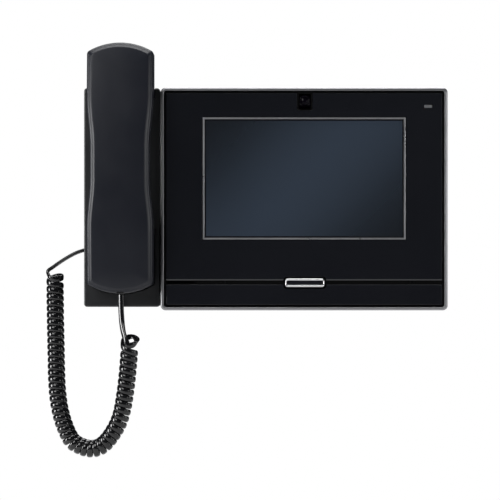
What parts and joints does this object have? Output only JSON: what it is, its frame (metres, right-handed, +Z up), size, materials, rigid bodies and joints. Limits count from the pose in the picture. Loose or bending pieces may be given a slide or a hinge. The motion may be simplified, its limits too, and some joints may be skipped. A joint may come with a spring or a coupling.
{
  "type": "video intercom monitor",
  "caption": "Wall-mounted video intercom monitor with a wide display, a tilting camera, a talk button and a corded handset that hangs in a cradle on a curly cord.",
  "frame": {"origin": "centre of the wall bracket's back face, on the wall, behind the centre of the monitor's body", "axes": "+Z up, -Y out of the wall towards the user, +X to the user's right"},
  "size_m": [0.3183, 0.062, 0.3271],
  "materials": {
    "gloss_black": "polished black",
    "case_black": "fine moulded black",
    "charcoal": "fine satin charcoal",
    "rim_silver": "silver metallised",
    "chrome": "bright plated",
    "screen_glass": "dark slate, display off",
    "lens_glass": "coated lens",
    "clear_grey": "frosted light window",
    "steel": "zinc plated",
    "board_green": "solder mask",
    "display_grey": "plain",
    "ribbon_amber": "polyimide film",
    "soft_rubber": "foam seal",
    "cord_black": "glossy PVC jacket"
  },
  "bodies": {
    "unit": {"wall_bracket": "steel", "bracket_lock_screw": "steel", "rear_case": "case_black", "front_case": "case_black", "trim_ring": "rim_silver", "front_panel": "gloss_black", "lower_panel": "gloss_black", "screen_frame": "rim_silver", "touch_panel": "screen_glass", "lcd_panel": "display_grey", "lcd_chassis": "steel", "lcd_ribbon": "ribbon_amber", "main_board": "board_green", "lan_jack": "steel", "terminal_block": "case_black", "card_socket": "steel", "monitor_speaker": "case_black", "monitor_microphone": "steel", "button_board": "board_green", "talk_switch": "case_black", "camera_surround": "case_black", "status_window": "clear_grey", "status_led": "clear_grey", "case_screw_1": "steel", "case_screw_2": "steel", "case_screw_3": "steel", "case_screw_4": "steel", "cradle_front": "case_black", "cradle_rear": "case_black", "cradle_joiner": "steel", "hook_switch_spring": "steel", "hook_switch": "case_black", "cradle_board": "board_green", "handset_jack_base": "case_black", "cradle_screw_1": "steel", "cradle_screw_2": "steel", "cord_plug_base": "cord_black", "cord_lead_base": "cord_black", "cord_coil_left": "cord_black"},
    "handset": {"handset_outer_shell": "charcoal", "handset_inner_shell": "charcoal", "receiver": "steel", "receiver_seal": "soft_rubber", "handset_microphone": "steel", "handset_weight": "steel", "handset_jack": "case_black", "handset_screw_1": "steel", "handset_screw_2": "steel", "cord_plug_handset": "cord_black", "cord_lead_handset": "cord_black", "cord_coil_right": "cord_black"},
    "hook_plunger": {"hook_switch_plunger": "case_black"},
    "talk_button": {"talk_button_cap": "gloss_black", "talk_button_ring": "chrome"},
    "camera_eye_body": {"camera_eye": "gloss_black", "camera_lens": "lens_glass"},
    "card_door_body": {"card_door": "case_black"}
  },
  "joints": [
    {"name": "handset_lift", "type": "slide", "parent": "unit", "child": "handset", "axis": [0, -0.766, 0.6428], "range_m": [0, 0.08]},
    {"name": "hook_switch_travel", "type": "slide", "parent": "unit", "child": "hook_plunger", "axis": [0, -1, 0], "range_m": [0, 0.0024]},
    {"name": "talk_button_press", "type": "slide", "parent": "unit", "child": "talk_button", "axis": [0, 1, 0], "range_m": [0, 0.0008], "stiffness_N_per_m": 800, "springref_m": -0.0005},
    {"name": "camera_tilt", "type": "hinge", "parent": "unit", "child": "camera_eye_body", "pos_m": [0.0005, -0.0298, 0.0772], "axis": [1, 0, 0], "range_deg": [-10, 10]},
    {"name": "card_door_hinge", "type": "hinge", "parent": "unit", "child": "card_door_body", "pos_m": [0.1101, -0.0169, -0.001], "axis": [0, 0, 1], "range_deg": [0, 95]}
  ],
  "couplings": [
    {"joint": "hook_switch_travel", "follows": "handset_lift", "ratio": 0.03}
  ]
}
